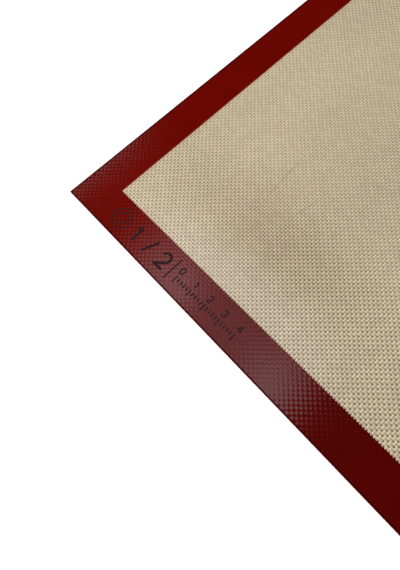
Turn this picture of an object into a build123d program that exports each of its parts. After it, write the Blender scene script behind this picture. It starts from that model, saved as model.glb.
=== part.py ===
from build123d import *
import os

os.makedirs("parts", exist_ok=True)

# A baking mat of woven glass cloth between two coats of silicone, lying flat.
# Millimetres. X runs along the long side, Y along the short side and Z up.
# The origin is the middle of the underside, on the surface that the mat lies on.

# Outline of the mat
mat_length = 420.0
mat_width = 295.0
corner_radius = 0.6
border_width = 20.5

# Layers, from the underside up
border_film_thickness = 0.08
lower_coat_thickness = 0.17
cloth_thickness = 0.24
upper_coat_thickness = 0.17
ink_thickness = 0.03

# Seal round the cut edge
seal_width = 0.6
seal_edge_radius = 0.2
rounding_limit_share = 0.9

# Print on the front border: a row of marks, one clear gap after another
print_from_left = 27.0
print_gap = 2.9

outer_circle_radius = 5.8
inner_circle_radius = 3.2
circle_line_width = 0.6

size_mark_height = 10.0
size_mark_step = 10.6
size_mark_stroke = 1.3
size_mark = "1/2"
number_width_share = 0.6

divider_height = 13.4
divider_line_width = 0.7

scale_length = 40.0
scale_number_step = 10.0
scale_tick_step = 2.0
tick_line_width = 0.7
long_tick_height = 4.0
short_tick_height = 2.4
scale_number_height = 4.2
scale_number_stroke = 0.7
scale_row_gap = 1.4

# Spare reach of a cut past the face that it leaves
overrun = 1.0

# Sizes that follow from the ones above
core_length = mat_length - 2 * seal_width
core_width = mat_width - 2 * seal_width
field_length = mat_length - 2 * border_width
field_width = mat_width - 2 * border_width

coat_floor = border_film_thickness
cloth_floor = coat_floor + lower_coat_thickness
cloth_top = cloth_floor + cloth_thickness
field_top = cloth_top + upper_coat_thickness
border_top = field_top + border_film_thickness

size_number_width = number_width_share * (size_mark_height - size_mark_stroke) + size_mark_stroke
scale_number_width = number_width_share * (scale_number_height - scale_number_stroke) + scale_number_stroke

print_middle = -mat_width / 2 + border_width / 2
circle_left = -mat_length / 2 + print_from_left
circle_middle = circle_left + outer_circle_radius + circle_line_width / 2
size_mark_left = circle_middle + outer_circle_radius + circle_line_width / 2 + print_gap
size_mark_right = size_mark_left + (len(size_mark) - 1) * size_mark_step + size_number_width
divider_middle = size_mark_right + print_gap + divider_line_width / 2
scale_zero = divider_middle + divider_line_width / 2 + print_gap + scale_number_width / 2

# Centre lines of the numbers, as shares of the height between the middles of the
# top and bottom strokes. Each stroke is a chain of lines (two points) and arcs
# (three points).
number_shares = {
    "0": [
        [[(0.0, 0.7), (0.3, 1.0), (0.6, 0.7)], [(0.6, 0.7), (0.6, 0.3)]],
        [[(0.6, 0.3), (0.3, 0.0), (0.0, 0.3)], [(0.0, 0.3), (0.0, 0.7)]],
    ],
    "1": [
        [[(0.4, 0.0), (0.4, 1.0)]],
        [[(0.4, 0.97), (0.1, 0.74)]],
    ],
    "2": [
        [
            [(0.02, 0.72), (0.31, 1.0), (0.6, 0.71)],
            [(0.6, 0.71), (0.56, 0.55), (0.47, 0.43)],
            [(0.47, 0.43), (0.0, 0.0)],
            [(0.0, 0.0), (0.62, 0.0)],
        ],
    ],
    "3": [
        [[(0.03, 0.78), (0.3, 1.0), (0.54, 0.76)], [(0.54, 0.76), (0.46, 0.59), (0.28, 0.53)]],
        [[(0.28, 0.53), (0.51, 0.47), (0.6, 0.28)], [(0.6, 0.28), (0.3, 0.0), (0.0, 0.24)]],
    ],
    "4": [
        [[(0.5, 0.0), (0.5, 1.0)]],
        [[(0.5, 0.97), (0.0, 0.3)], [(0.0, 0.3), (0.68, 0.3)]],
    ],
    "/": [
        [[(0.08, -0.06), (0.52, 1.06)]],
    ],
}


def slab(length, width, bottom, top):
    """A flat plate centred on the mat, between two heights."""
    plate = Box(length, width, top - bottom, align=(Align.CENTER, Align.CENTER, Align.MIN))
    return Pos(0, 0, bottom) * plate


def frame_film(bottom, top):
    """The border's film: a frame as wide as the border, inside the edge seal."""
    window = slab(field_length, field_width, bottom - overrun, top + overrun)
    return slab(core_length, core_width, bottom, top) - window


def lower_coat():
    """The underside, with a thicker field that lies flush with the lower border."""
    coat = slab(core_length, core_width, coat_floor, cloth_floor)
    return coat + slab(field_length, field_width, 0, coat_floor)


def edge_seal():
    """A thin silicone wall round the cut edge, rounded at its outer corners."""
    block = extrude(RectangleRounded(mat_length, mat_width, corner_radius), amount=border_top)
    rims = block.faces().sort_by(Axis.Z)
    rounding = min(seal_edge_radius, border_top / 2 * rounding_limit_share)
    block = fillet(rims[0].edges() + rims[-1].edges(), rounding)
    return block - slab(core_length, core_width, -overrun, border_top + overrun)


def number_sketch(character, height, stroke_width):
    """One character of the print, standing on the line y = 0 from x = 0."""
    rise = height - stroke_width
    outline = Sketch()
    for stroke in number_shares[character]:
        chain = []
        for points in stroke:
            places = [(across * rise, up * rise) for across, up in points]
            chain.append(Line(*places) if len(places) == 2 else ThreePointArc(*places))
        outline += trace(chain, stroke_width)
    return Pos(stroke_width / 2, stroke_width / 2) * outline


def printed(sketch, along, from_middle):
    """A printed shape, laid on the border's film."""
    place = Pos(along, print_middle + from_middle, border_top)
    return place * extrude(sketch, amount=ink_thickness)


def circle_mark():
    """Two thin circles, one inside the other."""
    rings = []
    for radius in (outer_circle_radius, inner_circle_radius):
        ring = Circle(radius + circle_line_width / 2) - Circle(radius - circle_line_width / 2)
        rings.append(printed(ring, circle_middle, 0))
    return Compound(children=rings)


def size_numbers():
    """The mat's size as a fraction of a full baking sheet."""
    marks = []
    for index, character in enumerate(size_mark):
        mark = number_sketch(character, size_mark_height, size_mark_stroke)
        marks.append(printed(mark, size_mark_left + index * size_mark_step, -size_mark_height / 2))
    return Compound(children=marks)


def divider_bar():
    """A thin bar between the size and the scale."""
    return printed(Rectangle(divider_line_width, divider_height), divider_middle, 0)


def tick_places():
    """Distances of the scale's ticks from its zero."""
    return [index * scale_tick_step for index in range(int(scale_length / scale_tick_step) + 1)]


def scale_ticks():
    """The scale's row of ticks, with a long one at each number."""
    ticks = []
    ticks_per_number = round(scale_number_step / scale_tick_step)
    for index, distance in enumerate(tick_places()):
        height = long_tick_height if index % ticks_per_number == 0 else short_tick_height
        tick = Rectangle(tick_line_width, height, align=(Align.CENTER, Align.MAX))
        ticks.append(printed(tick, scale_zero + distance, -scale_row_gap / 2))
    return Compound(children=ticks)


def scale_numbers():
    """The numbers above the scale's long ticks."""
    numbers = []
    for value in range(int(scale_length / scale_number_step) + 1):
        number = number_sketch(str(value), scale_number_height, scale_number_stroke)
        place = scale_zero + value * scale_number_step - scale_number_width / 2
        numbers.append(printed(number, place, scale_row_gap / 2))
    return Compound(children=numbers)


pieces = {
    "glass_cloth": slab(core_length, core_width, cloth_floor, cloth_top),
    "upper_silicone_coat": slab(core_length, core_width, cloth_top, field_top),
    "lower_silicone_coat": lower_coat(),
    "upper_border": frame_film(field_top, border_top),
    "lower_border": frame_film(0, coat_floor),
    "edge_seal": edge_seal(),
    "circle_mark": circle_mark(),
    "size_numbers": size_numbers(),
    "divider_bar": divider_bar(),
    "scale_ticks": scale_ticks(),
    "scale_numbers": scale_numbers(),
}

for node, piece in pieces.items():
    export_step(piece, f"parts/{node}.step")
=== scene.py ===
# %% [markdown]
# # A woven baking mat with a printed silicone border
#
# The mat is a laminate: a plain-woven glass cloth, a cream silicone coat on each side, a red
# silicone film round the border and a dark seal round the cut edge. It lies flat on a pale floor.
# The CAD frame holds every layer at its true height. This scene gives the layers the relief of
# the cloth below them, which is what makes such a mat look woven, and their finishes.

# %% Load the frame
import math

import bmesh
import bpy
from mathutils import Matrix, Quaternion, Vector


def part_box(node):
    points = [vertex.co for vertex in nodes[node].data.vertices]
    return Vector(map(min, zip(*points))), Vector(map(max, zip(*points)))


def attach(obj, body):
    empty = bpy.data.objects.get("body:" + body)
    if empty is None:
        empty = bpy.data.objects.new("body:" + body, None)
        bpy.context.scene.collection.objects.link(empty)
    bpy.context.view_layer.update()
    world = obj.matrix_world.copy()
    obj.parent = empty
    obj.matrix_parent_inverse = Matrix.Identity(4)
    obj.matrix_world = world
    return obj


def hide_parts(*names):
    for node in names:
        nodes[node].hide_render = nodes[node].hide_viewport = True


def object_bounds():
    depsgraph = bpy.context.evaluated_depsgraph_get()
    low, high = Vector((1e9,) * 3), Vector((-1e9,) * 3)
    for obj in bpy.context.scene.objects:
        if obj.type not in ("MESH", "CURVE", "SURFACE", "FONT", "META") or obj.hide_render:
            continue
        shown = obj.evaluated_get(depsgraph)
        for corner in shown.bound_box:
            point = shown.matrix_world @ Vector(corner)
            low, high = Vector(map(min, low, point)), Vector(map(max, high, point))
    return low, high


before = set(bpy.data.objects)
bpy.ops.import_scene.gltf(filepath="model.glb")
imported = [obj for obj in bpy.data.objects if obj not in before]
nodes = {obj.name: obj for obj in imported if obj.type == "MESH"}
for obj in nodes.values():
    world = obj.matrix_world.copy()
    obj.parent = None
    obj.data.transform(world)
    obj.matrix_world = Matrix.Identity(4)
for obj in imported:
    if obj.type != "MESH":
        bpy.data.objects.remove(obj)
cad_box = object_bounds()
print("CAD box", [round(value, 5) for corner in cad_box for value in corner])

# %% Units and tolerances, in metres
millimetre = 0.001
same_place = 1e-6
cut_tolerance = 1e-8

# %% [markdown]
# Heights and outlines are read from the frame, so nothing has to be fitted. The core is the
# laminate inside the edge seal, and the field is the cream area inside the border. The field's
# corner is the corner of the border's window: the vertex of that film nearest the middle.

# %% Measures taken from the frame
core_low, core_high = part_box("glass_cloth")
cloth_floor = core_low.z
cloth_top = core_high.z
film_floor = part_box("upper_border")[0].z
film_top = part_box("upper_border")[1].z
lower_film_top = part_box("lower_border")[1].z
core_x = core_high.x
core_y = core_high.y
field_x = min(abs(vertex.co.x) for vertex in nodes["upper_border"].data.vertices)
field_y = min(abs(vertex.co.y) for vertex in nodes["upper_border"].data.vertices)
print("field", round(2 * field_x, 4), "by", round(2 * field_y, 4))

# %% [markdown]
# The camera stands where the photograph was taken: close above the front border, a hand's
# breadth up, with a wide lens. Its place and the point it looks at are given from the mat's
# front left corner, and its roll turns the front border to run down to the right.

# %% Camera
camera_from_corner = Vector((128.1, -9.9, 158.3)) * millimetre
aim_from_corner = Vector((88.8, 14.4, 0.7)) * millimetre
camera_roll = math.radians(-12.2)
camera_lens = 21.1
sensor_width = 36.0

corner = Vector((cad_box[0].x, cad_box[0].y, 0.0))
camera_data = bpy.data.cameras.new("photo_camera")
camera_data.lens = camera_lens
camera_data.sensor_width = sensor_width
camera_data.clip_start = 5 * millimetre
camera = bpy.data.objects.new("photo_camera", camera_data)
bpy.context.scene.collection.objects.link(camera)
sight = aim_from_corner - camera_from_corner
camera.rotation_mode = "QUATERNION"
camera.rotation_quaternion = (
    sight.to_track_quat("-Z", "Y") @ Quaternion((0.0, 0.0, 1.0), camera_roll)
)
camera.location = corner + camera_from_corner
bpy.context.scene.camera = camera
print("camera at", [round(value, 4) for value in camera.location])

# %% [markdown]
# The floor's paint, the room and every finish of the mat are node trees. A few small helpers keep
# the code for them short.

# %% Small helpers for node trees
def add_node(tree, kind, **settings):
    """A node of that kind, with its plain settings."""
    node = tree.nodes.new(kind)
    for name, value in settings.items():
        setattr(node, name, value)
    return node


def feed(tree, socket, value):
    """Links an output to a socket, or writes a plain value there."""
    if isinstance(value, bpy.types.NodeSocket):
        tree.links.new(value, socket)
    else:
        socket.default_value = value


def calculate(tree, operation, first, second=None):
    """One step of arithmetic, as a Math node."""
    node = add_node(tree, "ShaderNodeMath", operation=operation)
    for index, value in enumerate((first, second)):
        if value is not None:
            feed(tree, node.inputs[index], value)
    return node.outputs[0]


def blend_colour(tree, share, first, second, blend_type="MIX"):
    """Mixes two colours by a share from 0 to 1."""
    node = add_node(tree, "ShaderNodeMix", data_type="RGBA", blend_type=blend_type)
    feed(tree, node.inputs["Factor"], share)
    feed(tree, node.inputs[6], first)
    feed(tree, node.inputs[7], second)
    return node.outputs[2]


def spread(tree, value, low, high, out_low=0.0, out_high=1.0):
    """A smooth step of a value from one range to another."""
    node = add_node(tree, "ShaderNodeMapRange", interpolation_type="SMOOTHSTEP")
    for index, part in enumerate((value, low, high, out_low, out_high)):
        feed(tree, node.inputs[index], part)
    return node.outputs[0]


# %% [markdown]
# The light is that of a kitchen with a skylight. A broad panel hangs over the front left of the
# mat, dimmer along its left rim, with two brighter tubes just below it and a narrow bright window
# further left. All of them mirror in the glossy border, and the ceiling round them is dark, so the
# red stays deep between them. Three softboxes at the sides rake the weave and set the level of the
# whole. The floor shows white to the camera because it glows, but less near the mat, so that the
# mat keeps its shadow.

# %% Floor, room and lamps
floor_size = 60.0
floor_colour = (0.88, 0.88, 0.88, 1.0)
pure_white = (1.0, 1.0, 1.0, 1.0)
near_lift = 0.5
far_lift = 1.0
lift_start = 0.35
lift_end = 1.2

floor_mesh = bpy.data.meshes.new("floor")
floor_bmesh = bmesh.new()
bmesh.ops.create_grid(floor_bmesh, x_segments=1, y_segments=1, size=floor_size / 2)
floor_bmesh.to_mesh(floor_mesh)
floor_bmesh.free()
floor = bpy.data.objects.new("floor", floor_mesh)
bpy.context.scene.collection.objects.link(floor)

floor_material = bpy.data.materials.new("floor_paint")
floor_material.use_nodes = True
floor_tree = floor_material.node_tree
floor_shader = floor_tree.nodes["Principled BSDF"]
floor_shader.inputs["Base Color"].default_value = floor_colour
floor_shader.inputs["Roughness"].default_value = 0.9
floor_shader.inputs["Specular IOR Level"].default_value = 0.0
floor_shader.inputs["Emission Color"].default_value = pure_white
floor_path = add_node(floor_tree, "ShaderNodeLightPath").outputs
seen = calculate(floor_tree, "ADD", floor_path["Is Camera Ray"], floor_path["Is Glossy Ray"])
seen = calculate(floor_tree, "ADD", seen, floor_path["Is Transmission Ray"])
away = add_node(floor_tree, "ShaderNodeVectorMath", operation="LENGTH")
feed(floor_tree, away.inputs[0], add_node(floor_tree, "ShaderNodeTexCoord").outputs["Object"])
lift = spread(floor_tree, away.outputs["Value"], lift_start, lift_end, near_lift, far_lift)
glow = calculate(floor_tree, "MULTIPLY", seen, lift)
feed(floor_tree, floor_shader.inputs["Emission Strength"], glow)
floor_mesh.materials.append(floor_material)

room_strength = 1.0
room_low = (0.8, 0.8, 0.82, 1.0)
room_high = (0.0, 0.0, 0.0, 1.0)
dark_from = 0.35
world = bpy.data.worlds.new("room")
bpy.context.scene.world = world
world.use_nodes = True
world_tree = world.node_tree
background = world_tree.nodes["Background"]
direction = add_node(world_tree, "ShaderNodeTexCoord")
height = add_node(world_tree, "ShaderNodeSeparateXYZ")
feed(world_tree, height.inputs[0], direction.outputs["Generated"])
room_shade = spread(world_tree, height.outputs["Z"], 0.0, dark_from)
room_colour = blend_colour(world_tree, room_shade, room_low, room_high)
world_path = add_node(world_tree, "ShaderNodeLightPath").outputs
mirrored = calculate(world_tree, "ADD", world_path["Is Glossy Ray"], world_path["Is Transmission Ray"])
low_part = calculate(world_tree, "SUBTRACT", 1.0, room_shade)
shown = calculate(world_tree, "MULTIPLY", mirrored, low_part)
shown = calculate(world_tree, "ADD", shown, world_path["Is Camera Ray"])
room_colour = blend_colour(world_tree, shown, room_colour, pure_white)
feed(world_tree, background.inputs["Color"], room_colour)
background.inputs["Strength"].default_value = room_strength


def softbox(name, place, aim, width, height_, power):
    """A rectangular lamp at a place, turned to face a point."""
    data = bpy.data.lights.new(name, "AREA")
    data.shape = "RECTANGLE"
    data.size = width
    data.size_y = height_
    data.energy = power
    lamp = bpy.data.objects.new(name, data)
    bpy.context.scene.collection.objects.link(lamp)
    lamp.location = place
    lamp.rotation_mode = "QUATERNION"
    lamp.rotation_quaternion = (Vector(aim) - Vector(place)).to_track_quat("-Z", "Y")


def skylight(name, low_x, high_x, low_y, high_y, level, height_):
    """A rectangular lamp in the ceiling, of a given brightness."""
    width, depth = high_x - low_x, high_y - low_y
    middle = ((low_x + high_x) / 2, (low_y + high_y) / 2)
    power = math.pi * width * depth * level
    softbox(name, (*middle, height_), (*middle, 0.0), width, depth, power)


ceiling = 1.0
tube_drop = 0.02
ceiling_lamps = {
    # Lowest and highest X, lowest and highest Y, brightness, height
    "skylight": (-0.63, 0.12, -0.22, 0.17, 0.96, ceiling),
    "skylight_rim": (-0.7, -0.63, -0.22, 0.17, 0.47, ceiling),
    "left_tube": (-0.525, -0.365, -0.22, 0.04, 1.75, ceiling - tube_drop),
    "right_tube": (-0.04, 0.12, -0.22, 0.04, 1.6, ceiling - tube_drop),
    "left_window": (-1.2, -1.08, -0.25, 0.34, 2.5, ceiling),
}
for lamp_name, lamp_numbers in ceiling_lamps.items():
    skylight(lamp_name, *lamp_numbers)

mat_front_left = (-0.12, -0.1, 0.0)
side_width = 0.9
side_height = 0.7
side_power = 19.3
side_places = {
    "right_front": (1.3, -0.95, 1.0),
    "right_back": (1.1, 1.2, 1.0),
    "left_front": (-1.0, -1.45, 1.0),
}
for side_name, side_place in side_places.items():
    softbox(side_name, side_place, mat_front_left, side_width, side_height, side_power)

# %% [markdown]
# The cloth is a plain weave: each yarn goes over one crossing yarn and under the next. Under the
# silicone it shows as a knuckle at every crossing. A knuckle is a small pyramid here, made by
# poking the faces of a grid whose lines run between the yarns, which costs only four triangles.
# The grid is then cut to its outline with planes, so the pattern runs on from piece to piece.

# %% The weave's own sizes
weft_pitch = 1.457 * millimetre
warp_pitch = 1.497 * millimetre
field_crest = 0.02 * millimetre
field_relief = 0.11 * millimetre
film_relief = 0.015 * millimetre
field_bump = 0.09 * millimetre
film_bump = 0.036 * millimetre
# The slow swing along X stands for the way the light falls across the mat.
light_swing_wave = 300 * millimetre
light_swing_start = -122 * millimetre
gap_share = 0.3
sunk_share = 0.12
unevenness_share = 0.16
column_waves = ((2.399, 0.0), (0.37, 1.0))
row_waves = ((1.733, 0.5), (0.29, 0.0))


def warp_over(column, row):
    """Whether the yarn that runs along Y lies on top at a crossing."""
    return (column + row) % 2 == 0


def beat(count, waves):
    """The product of two sine waves along a count, which seldom repeats."""
    (first_rate, first_start), (second_rate, second_start) = waves
    return math.sin(count * first_rate + first_start) * math.sin(count * second_rate + second_start)


def crossing_height(column, row):
    """How proud one crossing stands, as a share, with some yarns a little fatter than others."""
    if not warp_over(column, row):
        return sunk_share
    fatness = beat(column, column_waves) + beat(row, row_waves)
    leanness = 0.5 - fatness / 4
    return 1.0 - unevenness_share * leanness


def knuckle_height(x, y):
    """Height of the weave at a place, as a share of the relief: a pyramid on each crossing."""
    column, row = math.floor(x / weft_pitch), math.floor(y / warp_pitch)
    across = abs(x / weft_pitch - column - 0.5)
    up = abs(y / warp_pitch - row - 0.5)
    to_rim = 2.0 * max(across, up)
    return crossing_height(column, row) * (1.0 - to_rim) + gap_share * to_rim


def cut_outside(mesh_data, low_x, high_x, low_y, high_y):
    """Trims a flat mesh to a rectangle with four planes."""
    planes = (
        ((low_x, 0.0, 0.0), (-1.0, 0.0, 0.0)),
        ((high_x, 0.0, 0.0), (1.0, 0.0, 0.0)),
        ((0.0, low_y, 0.0), (0.0, -1.0, 0.0)),
        ((0.0, high_y, 0.0), (0.0, 1.0, 0.0)),
    )
    for point, normal in planes:
        geometry = mesh_data.verts[:] + mesh_data.edges[:] + mesh_data.faces[:]
        bmesh.ops.bisect_plane(
            mesh_data,
            geom=geometry,
            dist=cut_tolerance,
            plane_co=point,
            plane_no=normal,
            clear_outer=True,
        )


def woven_sheet(low_x, high_x, low_y, high_y, base, relief):
    """A rectangle of woven relief, from a base height up to the crests of the knuckles."""
    first_column, last_column = math.floor(low_x / weft_pitch), math.ceil(high_x / weft_pitch)
    first_row, last_row = math.floor(low_y / warp_pitch), math.ceil(high_y / warp_pitch)
    columns, rows = last_column - first_column, last_row - first_row
    cloth = bmesh.new()
    bmesh.ops.create_grid(cloth, x_segments=columns, y_segments=rows, size=0.5)
    bmesh.ops.scale(cloth, vec=(columns * weft_pitch, rows * warp_pitch, 1.0), verts=cloth.verts)
    middle = (
        (first_column + columns / 2) * weft_pitch,
        (first_row + rows / 2) * warp_pitch,
        base + relief * gap_share,
    )
    bmesh.ops.translate(cloth, vec=middle, verts=cloth.verts)
    poked = bmesh.ops.poke(cloth, faces=cloth.faces)
    for vertex in poked["verts"]:
        column = math.floor(vertex.co.x / weft_pitch)
        row = math.floor(vertex.co.y / warp_pitch)
        vertex.co.z = base + relief * crossing_height(column, row)
    cut_outside(cloth, low_x, high_x, low_y, high_y)
    return cloth


def join_sheets(sheets):
    """Several woven rectangles as one, merged where their edges meet."""
    joined = bmesh.new()
    for part in sheets:
        mesh = bpy.data.meshes.new("part")
        part.to_mesh(mesh)
        part.free()
        joined.from_mesh(mesh)
        bpy.data.meshes.remove(mesh)
    bmesh.ops.remove_doubles(joined, verts=joined.verts, dist=same_place)
    return joined


def rim_edges(mesh_data):
    """The edges with a face on one side only."""
    return [edge for edge in mesh_data.edges if edge.is_boundary]


def drop_rim(mesh_data, edges, height_):
    """Walls from a rim down to a flat height. Returns the wall's new edges."""
    made = bmesh.ops.extrude_edge_only(mesh_data, edges=edges)
    for item in made["geom"]:
        if isinstance(item, bmesh.types.BMVert):
            item.co.z = height_
    new_verts = {item for item in made["geom"] if isinstance(item, bmesh.types.BMVert)}
    return [
        item
        for item in made["geom"]
        if isinstance(item, bmesh.types.BMEdge) and all(end in new_verts for end in item.verts)
    ]


# %% [markdown]
# Pieces share one way into the scene: the bmesh becomes a smooth-shaded object at the origin,
# which rides on the mat's only body and stands for its CAD node.

# %% Turning a bmesh into a piece
sharp_angle = math.radians(40.0)


def make_piece(name, mesh_data, node, material):
    """A finished piece that replaces a CAD node."""
    bmesh.ops.recalc_face_normals(mesh_data, faces=mesh_data.faces)
    for edge in mesh_data.edges:
        edge.smooth = edge.calc_face_angle(0.0) < sharp_angle
    mesh = bpy.data.meshes.new(name)
    mesh_data.to_mesh(mesh)
    mesh_data.free()
    mesh.shade_smooth()
    mesh.materials.append(material)
    piece = bpy.data.objects.new(name, mesh)
    bpy.context.scene.collection.objects.link(piece)
    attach(piece, "root")
    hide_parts(node)
    mesh.calc_loop_triangles()
    print(name, "has", len(mesh.loop_triangles), "triangles")
    return piece


# %% [markdown]
# Every finish starts from the same woven pattern, so it is a node group. It counts rows of yarn
# along Y and finds, in each row, how far a point is from the nearest knuckle. A knuckle of the
# yarns that run along Y is a narrow upright ridge. Between two of them the crossing yarn arches
# up and dives under them, which leaves a pit on each side of every ridge. Between two rows the
# silicone fills the gap with a paler line. The group gives a height and a mask for each of these.
# A slow swing along X stands for the way the light falls across the mat. With it goes the side on
# which the pits are deeper and painted darker, which is painted shade.
# A ridge's tail reaches a little into the rows on both sides. Places are shares: beside a ridge,
# 0 is its middle and 1 is halfway to the next one, and across a row, 0 is its middle and 1 is its
# rim. Heights are shares of the relief.

# %% The woven pattern as a node group
ridge_flank = (0.02, 0.23)
next_flank = (0.74, 0.95)
tail_start = (0.72, 0.95)
gap_start = (0.6, 0.95)
pit_end = (0.35, 0.85)
pit_flank = (0.58, 1.0)
lean_swing = 0.55
ridge_power = 3.0
ridge_fall = 0.35
arch_start = 0.3
arch_rise = 0.45
gap_fill = 0.3
pit_depth = 0.25


def group_socket(group, name, kind, incoming, value=None):
    """One named input or output of a node group."""
    socket = group.interface.new_socket(
        name=name, in_out="INPUT" if incoming else "OUTPUT", socket_type=kind
    )
    if value is not None:
        socket.default_value = value


def weave_group():
    """Heights and masks of a plain weave."""
    group = bpy.data.node_groups.new("plain_weave", "ShaderNodeTree")
    group_socket(group, "Place", "NodeSocketVector", True)
    group_socket(group, "Weft Pitch", "NodeSocketFloat", True, weft_pitch)
    group_socket(group, "Warp Pitch", "NodeSocketFloat", True, warp_pitch)
    for name in ("Height", "Swell", "Ridge", "Gap", "Pit", "Chance", "Light Swing"):
        group_socket(group, name, "NodeSocketFloat", False)
    given = add_node(group, "NodeGroupInput").outputs
    result = add_node(group, "NodeGroupOutput").inputs

    place = add_node(group, "ShaderNodeSeparateXYZ")
    feed(group, place.inputs[0], given["Place"])
    along_x = calculate(group, "DIVIDE", place.outputs["X"], given["Weft Pitch"])
    along_y = calculate(group, "DIVIDE", place.outputs["Y"], given["Warp Pitch"])
    row = calculate(group, "FLOOR", along_y)
    from_row = calculate(group, "SUBTRACT", calculate(group, "FRACT", along_y), 0.5)
    rim = calculate(group, "MULTIPLY", calculate(group, "ABSOLUTE", from_row), 2.0)
    shifted = calculate(group, "SUBTRACT", calculate(group, "SUBTRACT", along_x, row), 0.5)
    half_count = calculate(group, "ADD", calculate(group, "MULTIPLY", shifted, 0.5), 0.5)
    knuckle = calculate(group, "FLOOR", half_count)
    side = calculate(group, "SUBTRACT", calculate(group, "FRACT", half_count), 0.5)
    beside = calculate(group, "MULTIPLY", calculate(group, "ABSOLUTE", side), 2.0)

    # Painted shade: a slow swing along X, standing for the light's direction across the mat, picks the
    # side of the deeper, darker pit. The finishes read it again for painted light.
    from_start = calculate(group, "SUBTRACT", place.outputs["X"], light_swing_start)
    turn = calculate(group, "MULTIPLY", from_start, -2.0 * math.pi / light_swing_wave)
    light_swing = calculate(group, "SINE", turn)
    lean = spread(group, light_swing, -lean_swing, lean_swing, -0.5, 0.5)
    leaning = calculate(group, "MULTIPLY", calculate(group, "SIGN", side), lean)
    deeper_and_shaded = calculate(group, "ADD", leaning, 0.5)

    body = spread(group, beside, *ridge_flank, 1.0, 0.0)
    near_next = spread(group, beside, *next_flank)
    tail = calculate(group, "MULTIPLY", near_next, spread(group, rim, *tail_start))
    ridge = calculate(group, "MAXIMUM", body, tail)
    not_ridge = calculate(group, "SUBTRACT", 1.0, ridge)
    gap = calculate(group, "MULTIPLY", spread(group, rim, *gap_start), not_ridge)
    yarn_between = calculate(group, "MULTIPLY", not_ridge, spread(group, rim, *gap_start, 1.0, 0.0))
    pit = calculate(group, "MULTIPLY", not_ridge, spread(group, rim, *pit_end, 1.0, 0.0))
    pit = calculate(group, "MULTIPLY", pit, spread(group, beside, *pit_flank, 1.0, 0.0))
    pit = calculate(group, "MULTIPLY", pit, deeper_and_shaded)

    fall = calculate(group, "MULTIPLY", calculate(group, "POWER", rim, ridge_power), ridge_fall)
    ridge_top = calculate(group, "MULTIPLY", ridge, calculate(group, "SUBTRACT", 1.0, fall))
    rise = spread(group, beside, arch_start, 1.0, 0.0, arch_rise)
    arch = calculate(group, "MULTIPLY", yarn_between, rise)
    filled = calculate(group, "MULTIPLY", gap, gap_fill)
    height_ = calculate(group, "ADD", calculate(group, "ADD", ridge_top, arch), filled)
    height_ = calculate(group, "SUBTRACT", height_, calculate(group, "MULTIPLY", pit, pit_depth))

    wave = calculate(group, "COSINE", calculate(group, "MULTIPLY", beside, math.pi))
    wave = calculate(group, "MULTIPLY", calculate(group, "ADD", wave, 1.0), 0.5)
    row_wave = calculate(group, "COSINE", calculate(group, "MULTIPLY", from_row, math.pi))
    swell = calculate(group, "MULTIPLY", wave, row_wave)

    crossing = add_node(group, "ShaderNodeCombineXYZ")
    feed(group, crossing.inputs["X"], knuckle)
    feed(group, crossing.inputs["Y"], row)
    chance = add_node(group, "ShaderNodeTexWhiteNoise", noise_dimensions="2D")
    feed(group, chance.inputs["Vector"], crossing.outputs[0])

    feed(group, result["Height"], height_)
    feed(group, result["Swell"], swell)
    feed(group, result["Ridge"], ridge)
    feed(group, result["Gap"], gap)
    feed(group, result["Pit"], pit)
    feed(group, result["Chance"], chance.outputs["Value"])
    feed(group, result["Light Swing"], light_swing)
    return group


plain_weave = weave_group()


def woven(tree):
    """The weave group in a material, read in the object's own coordinates."""
    coordinates = add_node(tree, "ShaderNodeTexCoord")
    group = add_node(tree, "ShaderNodeGroup", node_tree=plain_weave)
    feed(tree, group.inputs["Place"], coordinates.outputs["Object"])
    return coordinates.outputs["Object"], group.outputs


def noise(tree, place, scale, detail=2.0, stretch=None):
    """Smooth noise from 0 to 1, with grains of about 1 / scale metres."""
    if stretch:
        mapping = add_node(tree, "ShaderNodeMapping")
        mapping.inputs["Scale"].default_value = stretch
        feed(tree, mapping.inputs["Vector"], place)
        place = mapping.outputs[0]
    node = add_node(tree, "ShaderNodeTexNoise")
    feed(tree, node.inputs["Vector"], place)
    node.inputs["Scale"].default_value = scale
    node.inputs["Detail"].default_value = detail
    return node.outputs["Fac"]


noise_range = (0.3, 0.7)


def mottle(tree, place, scale, detail, low, high, stretch=None):
    """Noise that wanders between two values."""
    return spread(tree, noise(tree, place, scale, detail, stretch), *noise_range, low, high)


def relief_normal(tree, height_, distance, strength=1.0, under=None):
    """A normal from a height, over another normal if there is one."""
    bump = add_node(tree, "ShaderNodeBump")
    bump.inputs["Strength"].default_value = strength
    bump.inputs["Distance"].default_value = distance
    feed(tree, bump.inputs["Height"], height_)
    if under is not None:
        feed(tree, bump.inputs["Normal"], under)
    return bump.outputs[0]


def new_material(name):
    """An empty material with its shader."""
    material = bpy.data.materials.new(name)
    material.use_nodes = True
    return material, material.node_tree, material.node_tree.nodes["Principled BSDF"].inputs
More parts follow.
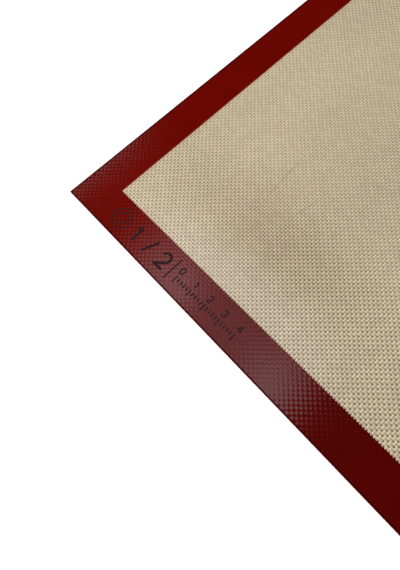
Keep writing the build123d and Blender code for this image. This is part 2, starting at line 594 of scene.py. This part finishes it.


# %% [markdown]
# The cream coat is silicone over pale glass yarn. It is thinnest on the ridges, where the yarn
# shines through, and the ridges are painted lighter still as a painted highlight. It is a shade
# darker on the crossing yarns and brown in the pits beside each ridge, partly their own colour and
# partly painted shade. No two knuckles are quite alike, and faint clouds and streaks run over many
# of them. The coat is thicker in the middle, where the weave and its pits show less. A soft,
# slightly browner patch of painted shade lies over part of the field. There is a pale painted glare
# near the front, and painted shade along two faint creases. Along X the field is painted lighter
# and darker with the slow swing of the light. Along the window the cream is paler on the yarns and
# has taken on some pink. Over all of this lies the clear surface of the silicone, smoother than the
# yarns, so the lamps mirror softly in it.

# %% Cream silicone
silicone_ior = 1.41
shaded_pit_cream = (0.245, 0.174, 0.097, 1.0)
yarn_cream = (0.515, 0.41, 0.268, 1.0)
gap_cream = (0.705, 0.585, 0.405, 1.0)
lit_ridge_cream = (1.0, 0.92, 0.72, 1.0)
mean_cream = (0.587, 0.486, 0.337, 1.0)
pink_tint = (0.96, 0.72, 0.76, 1.0)
pink_reach = 1.5 * millimetre
even_cream = (0.88, 0.74, 0.55, 1.0)
even_share = 0.6
even_reach = 1.2 * millimetre
shade_patch_tint = (0.86, 0.84, 0.81, 1.0)
shade_patch_middle = (-0.114, -0.0905, 0.0)
shade_patch_reach = (0.075, 0.035, 1.0)
glare_cream = (0.9, 0.77, 0.72, 1.0)
glare_share = 0.1
glare_middle = (-0.118, -0.122, 0.0)
glare_reach = (0.105, 0.028, 1.0)
crease_shade_lines = (((-131, -82), (-134.4, -42)), ((-115.1, -76.7), (-110.9, -57.2)))
crease_width = 0.45 * millimetre
crease_share = 0.55
middle_contrast = 0.74
middle_pit = 0.68
contrast_start = 42 * millimetre
contrast_end = 98 * millimetre
contrast_swing = (-0.4, 0.6)
contrast_shades = (1.06, 0.88)
painted_swing_shades = (0.95, 1.1)
knuckle_shades = (0.94, 1.05)
streak_stretch = (1.0, 0.12, 1.0)
cream_grain = 0.006 * millimetre
crease_fade = 0.4


def beyond(tree, place, half_x, half_y):
    """How far a point lies outside a rectangle, in metres: at any edge, and at front or back."""
    axes = add_node(tree, "ShaderNodeSeparateXYZ")
    feed(tree, axes.inputs[0], place)
    past_x = calculate(tree, "SUBTRACT", calculate(tree, "ABSOLUTE", axes.outputs["X"]), half_x)
    past_y = calculate(tree, "SUBTRACT", calculate(tree, "ABSOLUTE", axes.outputs["Y"]), half_y)
    return calculate(tree, "MAXIMUM", past_x, past_y), past_y


def weave_contrast(tree, place, light_swing):
    """How clearly the weave and its pits show: less in the middle, where the coat is thicker, and more
    or less with the slow swing of the light, as painted light.
    """
    axes = add_node(tree, "ShaderNodeSeparateXYZ")
    feed(tree, axes.inputs[0], place)
    from_middle = calculate(tree, "ABSOLUTE", axes.outputs["Y"])
    clear = spread(tree, from_middle, contrast_start, contrast_end, middle_contrast, 1.0)
    open_pit = spread(tree, from_middle, contrast_start, contrast_end, middle_pit, 1.0)
    painted_swing = spread(tree, light_swing, *contrast_swing, *contrast_shades)
    return calculate(tree, "MULTIPLY", clear, painted_swing), open_pit


def soft_patch(tree, place, middle, reach):
    """An oval that is 1 in its middle and fades out softly to its reach."""
    from_middle = add_node(tree, "ShaderNodeVectorMath", operation="SUBTRACT")
    feed(tree, from_middle.inputs[0], place)
    from_middle.inputs[1].default_value = middle
    scaled = add_node(tree, "ShaderNodeVectorMath", operation="DIVIDE")
    feed(tree, scaled.inputs[0], from_middle.outputs[0])
    scaled.inputs[1].default_value = reach
    away = add_node(tree, "ShaderNodeVectorMath", operation="LENGTH")
    feed(tree, away.inputs[0], scaled.outputs[0])
    return spread(tree, away.outputs["Value"], 0.0, 1.0, 1.0, 0.0)


def part_along(tree, vector, direction):
    """How far a vector reaches along a direction."""
    node = add_node(tree, "ShaderNodeVectorMath", operation="DOT_PRODUCT")
    feed(tree, node.inputs[0], vector)
    node.inputs[1].default_value = direction
    return node.outputs["Value"]


def crease_shade(tree, place, start, end):
    """A thin straight line of painted shade between two points given in millimetres, faint towards its
    ends.
    """
    first = Vector((*start, 0.0)) * millimetre
    run = Vector((*end, 0.0)) * millimetre - first
    offset = add_node(tree, "ShaderNodeVectorMath", operation="SUBTRACT")
    feed(tree, offset.inputs[0], place)
    offset.inputs[1].default_value = first
    along = part_along(tree, offset.outputs[0], run.normalized())
    across = part_along(tree, offset.outputs[0], Vector((-run.y, run.x, 0.0)).normalized())
    line = spread(tree, calculate(tree, "ABSOLUTE", across), 0.0, crease_width, crease_share, 0.0)
    entering = spread(tree, along, 0.0, crease_fade * run.length)
    leaving = spread(tree, along, (1.0 - crease_fade) * run.length, run.length, 1.0, 0.0)
    return calculate(tree, "MULTIPLY", calculate(tree, "MULTIPLY", line, entering), leaving)


def cream_silicone():
    """The coat of the field."""
    material, tree, shader = new_material("cream_silicone")
    place, weave = woven(tree)
    colour = blend_colour(tree, weave["Gap"], yarn_cream, gap_cream)
    contrast, open_pit = weave_contrast(tree, place, weave["Light Swing"])
    # The pits are darkened partly in their own brown and partly as painted shade.
    pit = calculate(tree, "MULTIPLY", weave["Pit"], open_pit)
    colour = blend_colour(tree, pit, colour, shaded_pit_cream)
    # The ridges are lighter partly because the yarn shines through and partly as a painted highlight.
    colour = blend_colour(tree, weave["Ridge"], colour, lit_ridge_cream)
    colour = blend_colour(tree, contrast, mean_cream, colour)
    past_window, past_front = beyond(tree, place, field_x, field_y)
    even = spread(tree, past_front, -even_reach, 0.0, 0.0, even_share)
    colour = blend_colour(tree, even, colour, even_cream)
    pink = spread(tree, past_window, -pink_reach, 0.0)
    colour = blend_colour(tree, pink, colour, pink_tint, "MULTIPLY")
    # Painted shade: a soft, slightly browner dark patch over part of the field.
    painted_shade_patch = soft_patch(tree, place, shade_patch_middle, shade_patch_reach)
    colour = blend_colour(tree, painted_shade_patch, colour, shade_patch_tint, "MULTIPLY")
    # Painted glare: a pale, pinkish patch near the front stands for the lamps' reflection.
    painted_glare = soft_patch(tree, place, glare_middle, glare_reach)
    painted_glare = calculate(tree, "MULTIPLY", painted_glare, glare_share)
    colour = blend_colour(tree, painted_glare, colour, glare_cream)
    # Painted shade along two faint creases.
    for start, end in crease_shade_lines:
        colour = blend_colour(tree, crease_shade(tree, place, start, end), colour, shaded_pit_cream)
    each = spread(tree, weave["Chance"], 0.0, 1.0, *knuckle_shades)
    cloud = mottle(tree, place, scale=14.0, detail=3.0, low=0.97, high=1.02)
    streak = mottle(
        tree, place, scale=60.0, detail=2.0, low=0.985, high=1.015, stretch=streak_stretch
    )
    shade = calculate(tree, "MULTIPLY", calculate(tree, "MULTIPLY", cloud, streak), each)
    # Painted light: the field is painted lighter at one end of the light's slow swing along X and
    # darker at the other.
    painted_swing = spread(tree, weave["Light Swing"], -1.0, 1.0, *painted_swing_shades)
    shade = calculate(tree, "MULTIPLY", shade, painted_swing)
    colour = blend_colour(tree, 1.0, colour, shade, "MULTIPLY")
    feed(tree, shader["Base Color"], colour)
    roughness = mottle(tree, place, scale=90.0, detail=3.0, low=0.33, high=0.39)
    feed(tree, shader["Roughness"], roughness)
    shader["IOR"].default_value = silicone_ior
    shader["Specular IOR Level"].default_value = 0.3
    grain = relief_normal(tree, noise(tree, place, scale=2600.0), cream_grain)
    feed(tree, shader["Normal"], relief_normal(tree, weave["Height"], field_bump, under=grain))
    shader["Coat Weight"].default_value = 0.8
    shader["Coat IOR"].default_value = silicone_ior
    coat_roughness = mottle(tree, place, scale=40.0, detail=1.0, low=0.2, high=0.24)
    feed(tree, shader["Coat Roughness"], coat_roughness)
    feed(tree, shader["Coat Normal"], relief_normal(tree, weave["Swell"], film_bump))
    return material


# %% [markdown]
# The red film is glossy and lies over the coat, so the weave shows through both only as soft
# swellings. The red is deepest between them. Painted shade follows the slow swing of the light
# along X, and further along X the border carries more painted shade. Along the window the film is
# a thicker, darker bead, and its outer rim is painted nearly black as painted shade along the cut
# edge.

# %% Red silicone
deep_red = (0.142, 0.0026, 0.0009, 1.0)
crest_red = (0.167, 0.003, 0.0011, 1.0)
bead_red = (0.05, 0.002, 0.0015, 1.0)
far_shade_start = -75 * millimetre
far_shade_end = -35 * millimetre
far_painted_shade = 0.84
bead_reach = 0.5 * millimetre
bead_share = 0.15
rim_shade_red = (0.012, 0.001, 0.0008, 1.0)
rim_reach = 0.5 * millimetre
rim_shade_share = 0.85
rim_full_share = 0.3
film_gloss = 0.5
seal_gloss = 0.03
red_swing_range = (-0.4, 0.8)
red_painted_shades = (0.7, 1.08)
film_grain = 0.0015 * millimetre


def red_silicone():
    """The film of the border."""
    material, tree, shader = new_material("red_silicone")
    place, weave = woven(tree)
    colour = blend_colour(tree, weave["Swell"], deep_red, crest_red)
    cloud = mottle(tree, place, scale=22.0, detail=3.0, low=0.92, high=1.08)
    # Painted shade: the red is darkened with the light's slow swing along X and further along X.
    painted_red_shade = spread(tree, weave["Light Swing"], *red_swing_range, *red_painted_shades)
    axes = add_node(tree, "ShaderNodeSeparateXYZ")
    feed(tree, axes.inputs[0], place)
    far_shade = spread(tree, axes.outputs["X"], far_shade_start, far_shade_end, 1.0, far_painted_shade)
    painted_red_shade = calculate(tree, "MULTIPLY", painted_red_shade, far_shade)
    colour = blend_colour(tree, 1.0, colour, calculate(tree, "MULTIPLY", cloud, painted_red_shade), "MULTIPLY")
    past_window = beyond(tree, place, field_x, field_y)[0]
    bead = spread(tree, past_window, 0.0, bead_reach, bead_share, 0.0)
    colour = blend_colour(tree, bead, colour, bead_red)
    past_core = beyond(tree, place, core_x, core_y)[0]
    # Painted shade: the film's outer rim is darkened nearly to black along the cut edge.
    rim = spread(tree, past_core, -rim_reach, -rim_full_share * rim_reach, 0.0, rim_shade_share)
    feed(tree, shader["Base Color"], blend_colour(tree, rim, colour, rim_shade_red))
    gloss = spread(tree, past_core, -rim_reach, 0.0, film_gloss, seal_gloss)
    feed(tree, shader["Specular IOR Level"], gloss)
    roughness = mottle(tree, place, scale=40.0, detail=1.0, low=0.13, high=0.16)
    feed(tree, shader["Roughness"], roughness)
    shader["IOR"].default_value = silicone_ior
    grain = relief_normal(tree, noise(tree, place, scale=1800.0), film_grain)
    feed(tree, shader["Normal"], relief_normal(tree, weave["Swell"], film_bump, under=grain))
    return material


# %% [markdown]
# The edge seal is the same silicone, thick and nearly black-red, partly its own colour and partly
# painted shade along the cut edge, with the dye of the border showing on its outer side, where it
# is thin. The ink is a matt charcoal silicone that has worn a little on the swellings.

# %% Seal, ink and cloth
shaded_seal_red = (0.006, 0.0008, 0.0008, 1.0)
seal_worn = (0.02, 0.001, 0.0008, 1.0)
seal_thin = (0.3, 0.03, 0.026, 1.0)
thin_start = 0.25 * millimetre
thin_end = 0.45 * millimetre
seal_spots = (0.35, 0.65)
seal_relief = 0.03 * millimetre
ink_black = (0.018, 0.008, 0.01, 1.0)
worn_ink = (0.032, 0.009, 0.01, 1.0)
worn_patches = (0.4, 0.75)
yarn_white = (0.74, 0.7, 0.6, 1.0)
yarn_shade = (0.4, 0.36, 0.28, 1.0)


def seal_silicone():
    """The dark bead round the cut edge."""
    material, tree, shader = new_material("edge_silicone")
    place = add_node(tree, "ShaderNodeTexCoord").outputs["Object"]
    spots = spread(tree, noise(tree, place, scale=300.0, detail=3.0), *seal_spots)
    # The seal's near-black is partly its own colour and partly painted shade of the cut edge.
    colour = blend_colour(tree, spots, shaded_seal_red, seal_worn)
    thin = spread(tree, beyond(tree, place, core_x, core_y)[0], thin_start, thin_end)
    feed(tree, shader["Base Color"], blend_colour(tree, thin, colour, seal_thin))
    shader["Roughness"].default_value = 0.8
    shader["Specular IOR Level"].default_value = seal_gloss
    shader["IOR"].default_value = silicone_ior
    feed(tree, shader["Normal"], relief_normal(tree, noise(tree, place, scale=700.0), seal_relief))
    return material


def print_ink():
    """The border's print."""
    material, tree, shader = new_material("print_ink")
    place, weave = woven(tree)
    patches = spread(tree, noise(tree, place, scale=260.0, detail=3.0), *worn_patches)
    worn = calculate(tree, "MULTIPLY", weave["Swell"], patches)
    feed(tree, shader["Base Color"], blend_colour(tree, worn, ink_black, worn_ink))
    shader["Roughness"].default_value = 0.6
    shader["Specular IOR Level"].default_value = 0.25
    shader["IOR"].default_value = silicone_ior
    feed(tree, shader["Normal"], relief_normal(tree, weave["Swell"], film_bump, strength=0.7))
    return material


def glass_yarn():
    """The bare cloth inside the laminate."""
    material, tree, shader = new_material("glass_yarn")
    place, weave = woven(tree)
    filaments = mottle(tree, place, scale=5000.0, detail=2.0, low=0.85, high=1.1)
    colour = blend_colour(tree, weave["Height"], yarn_shade, yarn_white)
    colour = blend_colour(tree, 1.0, colour, filaments, "MULTIPLY")
    feed(tree, shader["Base Color"], colour)
    shader["Roughness"].default_value = 0.45
    feed(tree, shader["Normal"], relief_normal(tree, weave["Height"], field_bump))
    return material


cream = cream_silicone()
red = red_silicone()
seal = seal_silicone()
ink = print_ink()
yarn = glass_yarn()

# %% [markdown]
# The cloth itself comes first. Nobody sees it until the laminate is cut open, so it has one
# vertex for each crossing: up where one yarn lies on top and down where the other does.

# %% The glass cloth
cloth_swing = 0.1 * millimetre


def cloth_sheet():
    """The bare cloth: a woven upper face over a flat plate."""
    columns = math.ceil(core_x / weft_pitch)
    rows = math.ceil(core_y / warp_pitch)
    cloth = bmesh.new()
    bmesh.ops.create_grid(cloth, x_segments=2 * columns, y_segments=2 * rows, size=0.5)
    stretch = (2 * columns * weft_pitch, 2 * rows * warp_pitch, 1.0)
    bmesh.ops.scale(cloth, vec=stretch, verts=cloth.verts)
    for vertex in cloth.verts:
        column = round(vertex.co.x / weft_pitch)
        row = round(vertex.co.y / warp_pitch)
        vertex.co.z = cloth_top - (0.0 if warp_over(column, row) else cloth_swing)
    cut_outside(cloth, -core_x, core_x, -core_y, core_y)
    foot = drop_rim(cloth, rim_edges(cloth), cloth_floor)
    bmesh.ops.edgeloop_fill(cloth, edges=foot)
    return cloth


woven_cloth = make_piece("woven_cloth", cloth_sheet(), "glass_cloth", yarn)

# %% [markdown]
# A coat is woven over the field only. Round it a plain flange runs on under the border's film to
# the edge of the laminate, and walls and a flat inner face close it against the cloth. It is
# built with its inner face at height zero, then set on the cloth, or turned over and hung below
# it for the underside.

# %% The two coats
def coat_shell(thickness, flange, relief):
    """A closed coat: woven field, flange and a flat inner face at height zero."""
    shell = woven_sheet(-field_x, field_x, -field_y, field_y, thickness - relief, relief)
    skirt = drop_rim(shell, rim_edges(shell), flange)
    made = bmesh.ops.extrude_edge_only(shell, edges=skirt)
    for item in made["geom"]:
        if isinstance(item, bmesh.types.BMVert):
            if abs(abs(item.co.x) - field_x) < same_place:
                item.co.x = math.copysign(core_x, item.co.x)
            if abs(abs(item.co.y) - field_y) < same_place:
                item.co.y = math.copysign(core_y, item.co.y)
    foot = drop_rim(shell, rim_edges(shell), 0.0)
    bmesh.ops.edgeloop_fill(shell, edges=foot)
    return shell


def set_on(shell, height_, upwards=True):
    """Moves a shell to its height in the laminate, turned over where it hangs below."""
    if not upwards:
        bmesh.ops.scale(shell, vec=(1.0, 1.0, -1.0), verts=shell.verts)
    bmesh.ops.translate(shell, vec=(0.0, 0.0, height_), verts=shell.verts)
    return shell


upper_flange = film_floor - cloth_top
lower_flange = cloth_floor - lower_film_top
upper_coat = make_piece(
    "upper_coat",
    set_on(coat_shell(upper_flange + field_crest, upper_flange, field_relief), cloth_top),
    "upper_silicone_coat",
    cream,
)
lower_coat = make_piece(
    "lower_coat",
    set_on(coat_shell(cloth_floor, lower_flange, field_relief), cloth_floor, upwards=False),
    "lower_silicone_coat",
    cream,
)

# %% [markdown]
# The border's film is a frame of four woven strips, merged at their ends. Its window isn't a
# clean line: along the front and back the film stops short on every yarn that it meets head-on
# and runs on between them, so cream teeth point into it. Along the sides, where the edge
# follows one yarn, it stays nearly straight.

# %% The two border films
front_tooth = 0.78 * millimetre
tooth_lean = 0.2
side_tooth = 0.1 * millimetre


def on_window(point):
    """Whether a point lies on the window's front or back edge, and whether on a side."""
    past_x = abs(point.x) - field_x
    past_y = abs(point.y) - field_y
    on_front = abs(past_y) < same_place and past_x < same_place
    on_side = abs(past_x) < same_place and past_y < same_place
    return on_front, on_side


def tooth_window(shell):
    """Moves the window's rim out and in with the yarns."""
    fronts = [edge for edge in rim_edges(shell) if all(on_window(end.co)[0] for end in edge.verts)]
    bmesh.ops.subdivide_edges(shell, edges=fronts, cuts=1)
    for vertex in shell.verts:
        if not vertex.is_boundary:
            continue
        on_front, on_side = on_window(vertex.co)
        if on_front and not on_side:
            wave = math.cos(2 * math.pi * (vertex.co.x / weft_pitch - 0.5))
            outwards = front_tooth * (wave + tooth_lean)
            vertex.co.y += math.copysign(1.0, vertex.co.y) * outwards
        elif on_side and not on_front:
            wave = math.cos(math.pi * (vertex.co.y / warp_pitch - 0.5))
            vertex.co.x += side_tooth * wave


def film_shell(thickness, relief):
    """A closed film with a woven face and a flat inner face at height zero."""
    base = thickness - relief
    shell = join_sheets(
        [
            woven_sheet(-core_x, core_x, -core_y, -field_y, base, relief),
            woven_sheet(-core_x, core_x, field_y, core_y, base, relief),
            woven_sheet(-core_x, -field_x, -field_y, field_y, base, relief),
            woven_sheet(field_x, core_x, -field_y, field_y, base, relief),
        ]
    )
    tooth_window(shell)
    rims = drop_rim(shell, rim_edges(shell), 0.0)
    bmesh.ops.triangle_fill(shell, use_beauty=False, edges=rims)
    return shell


upper_film = make_piece(
    "upper_border_film",
    set_on(film_shell(film_top - film_floor, film_relief), film_floor),
    "upper_border",
    red,
)
lower_film = make_piece(
    "lower_border_film",
    set_on(film_shell(lower_film_top, film_relief), lower_film_top, upwards=False),
    "lower_border",
    red,
)

# %% [markdown]
# The print lies on the knuckles like paint on canvas. Each mark starts as a copy of its CAD
# solid. It is cut along the lines of the weave, between the yarns and across each knuckle, and
# then its upper side is lowered onto the film with the thickness of the ink.

# %% The print
ink_thickness = 0.018 * millimetre
ink_root = 0.012 * millimetre
slice_tolerance = 1e-7


def slice_by_lattice(mark):
    """Cuts a mark along every crease of the woven film below it."""
    low_x = min(vertex.co.x for vertex in mark.verts)
    high_x = max(vertex.co.x for vertex in mark.verts)
    low_y = min(vertex.co.y for vertex in mark.verts)
    high_y = max(vertex.co.y for vertex in mark.verts)
    planes = []
    for column in range(math.floor(low_x / weft_pitch), math.ceil(high_x / weft_pitch) + 1):
        planes.append(((column * weft_pitch, 0.0, 0.0), (1.0, 0.0, 0.0)))
    for row in range(math.floor(low_y / warp_pitch), math.ceil(high_y / warp_pitch) + 1):
        planes.append(((0.0, row * warp_pitch, 0.0), (0.0, 1.0, 0.0)))
    for slant in (1.0, -1.0):
        corners = [
            x / weft_pitch + slant * y / warp_pitch for x in (low_x, high_x) for y in (low_y, high_y)
        ]
        for line in range(math.floor(min(corners)), math.ceil(max(corners)) + 1):
            normal = Vector((1.0 / weft_pitch, slant / warp_pitch, 0.0)).normalized()
            planes.append(((line * weft_pitch, 0.0, 0.0), normal))
    for point, normal in planes:
        geometry = mark.verts[:] + mark.edges[:] + mark.faces[:]
        bmesh.ops.bisect_plane(
            mark, geom=geometry, dist=slice_tolerance, plane_co=point, plane_no=normal
        )


def lay_print(node):
    """A mark of the print, laid over the weave."""
    mark = bmesh.new()
    mark.from_mesh(nodes[node].data)
    bmesh.ops.remove_doubles(mark, verts=mark.verts, dist=same_place)
    low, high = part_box(node)
    half_height = (low.z + high.z) / 2
    slice_by_lattice(mark)
    for vertex in mark.verts:
        on_top = vertex.co.z > half_height
        film = film_top - film_relief + film_relief * knuckle_height(vertex.co.x, vertex.co.y)
        vertex.co.z = film + (ink_thickness if on_top else -ink_root)
    return make_piece(node + "_ink", mark, node, ink)


marks = [
    lay_print(node)
    for node in ("circle_mark", "size_numbers", "divider_bar", "scale_ticks", "scale_numbers")
]

# %% [markdown]
# The seal keeps its CAD shape, which is already a rounded bead of the right size, so it only
# takes its finish.

# %% Seal
materials = nodes["edge_seal"].data.materials
materials.clear()
materials.append(seal)

# %% Colour management
bpy.context.scene.view_settings.view_transform = "Standard"
